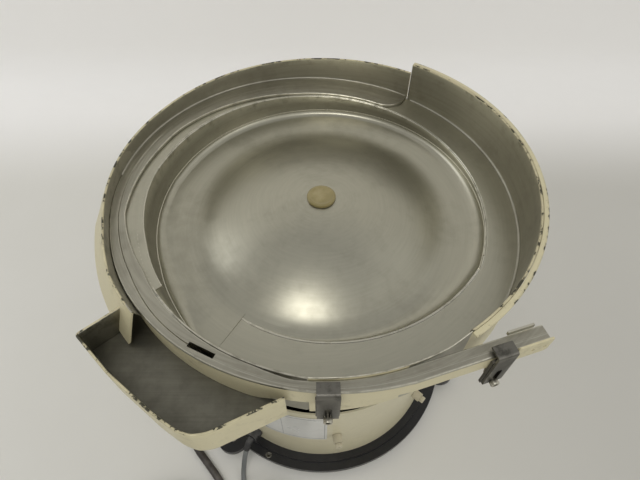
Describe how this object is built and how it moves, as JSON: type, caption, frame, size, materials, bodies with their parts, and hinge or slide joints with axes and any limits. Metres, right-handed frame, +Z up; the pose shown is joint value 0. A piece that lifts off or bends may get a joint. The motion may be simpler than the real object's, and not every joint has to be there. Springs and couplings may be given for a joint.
{
  "type": "vibratory bowl feeder",
  "caption": "Round vibratory bowl feeder: a spiral-track stainless bowl with outer walls, a return tray and a straight discharge, on a leaf-spring drive in a cylindrical casing.",
  "frame": {"origin": "centre of the circle of the three feet, on the surface they stand on, on the bowl's axis", "axes": "+Z up along the bowl's axis; +X to the side of the discharge; -Y to the front, where the return tray, the clamps and the data plate are"},
  "size_m": [0.5443, 0.6324, 0.485],
  "materials": {
    "cream_paint": "satin",
    "black_paint": "satin",
    "stainless": "brushed",
    "dark_steel": "blackened",
    "spring_steel": "ground",
    "zinc": "plated",
    "lamination": "varnished",
    "copper": "varnished",
    "rubber": "matte",
    "black_plastic": "matte",
    "white_plastic": "satin",
    "cap_plastic": "gloss",
    "label": "gloss",
    "dark_jacket": "satin",
    "grey_jacket": "satin"
  },
  "bodies": {
    "drive_base": {"rubber_feet": "rubber", "foot_bolts": "zinc", "base_plate": "black_paint", "base_screws": "dark_steel", "casing": "cream_paint", "casing_hoop": "dark_steel", "casing_spacers": "white_plastic", "casing_screws": "cream_paint", "data_plate": "label", "magnet_bracket": "dark_steel", "magnet_core": "lamination", "magnet_coil": "copper", "lower_spring_blocks": "black_paint", "lower_clamp_plates": "dark_steel", "lower_spring_bolts": "zinc", "leaf_springs": "spring_steel", "leaf_spacers": "zinc", "power_gland": "black_plastic", "control_gland": "black_plastic", "power_lead": "dark_jacket", "power_coil": "dark_jacket", "power_plug": "black_plastic", "control_lead": "grey_jacket", "control_coil": "grey_jacket", "control_plug": "black_plastic"},
    "lift_stage": {"centre_bolt": "zinc"},
    "bowl": {"top_plate": "black_paint", "upper_spring_blocks": "black_paint", "upper_clamp_plates": "dark_steel", "upper_spring_bolts": "zinc", "armature": "lamination", "shell_flange": "stainless", "flange_screws": "zinc", "bowl_shell": "stainless", "centre_tube": "stainless", "pan": "stainless", "inner_wall": "stainless", "track_lower": "stainless", "track_upper": "stainless", "right_wall": "cream_paint", "right_rim": "cream_paint", "left_wall": "cream_paint", "wall_ribs": "stainless", "track_skirt": "cream_paint", "tray_floor": "stainless", "tray_wall": "cream_paint", "discharge_guide": "cream_paint", "discharge_strip": "stainless", "clamp_tabs": "dark_steel", "clamp_screws": "zinc", "clamp_nuts": "zinc"},
    "front_clamp": {"front_clamp": "dark_steel"},
    "discharge_clamp": {"discharge_clamp": "dark_steel"},
    "cap": {"centre_cap": "cap_plastic"}
  },
  "joints": [
    {"name": "bowl_lift", "type": "slide", "parent": "drive_base", "child": "lift_stage", "axis": [0, 0, 1], "range_m": [-0.0002, 0.0002], "stiffness_N_per_m": 1000000, "springref_m": 0.00025, "deforming": ["leaf_springs"]},
    {"name": "bowl_twist", "type": "hinge", "parent": "lift_stage", "child": "bowl", "pos_m": [0, 0, 0], "axis": [0, 0, 1], "range_deg": [-0.25, 0.25], "stiffness_Nm_per_rad": 10000},
    {"name": "front_clamp_slide", "type": "slide", "parent": "bowl", "child": "front_clamp", "axis": [0, 0, 1], "range_m": [-0.003, 0.003]},
    {"name": "discharge_clamp_slide", "type": "slide", "parent": "bowl", "child": "discharge_clamp", "axis": [0, 0, 1], "range_m": [-0.003, 0.003]},
    {"name": "cap_pull", "type": "slide", "parent": "bowl", "child": "cap", "axis": [0, 0, 1], "range_m": [0, 0.02]}
  ],
  "couplings": [
    {"joint": "bowl_lift", "follows": "bowl_twist", "m_per_rad": 0.03644}
  ]
}
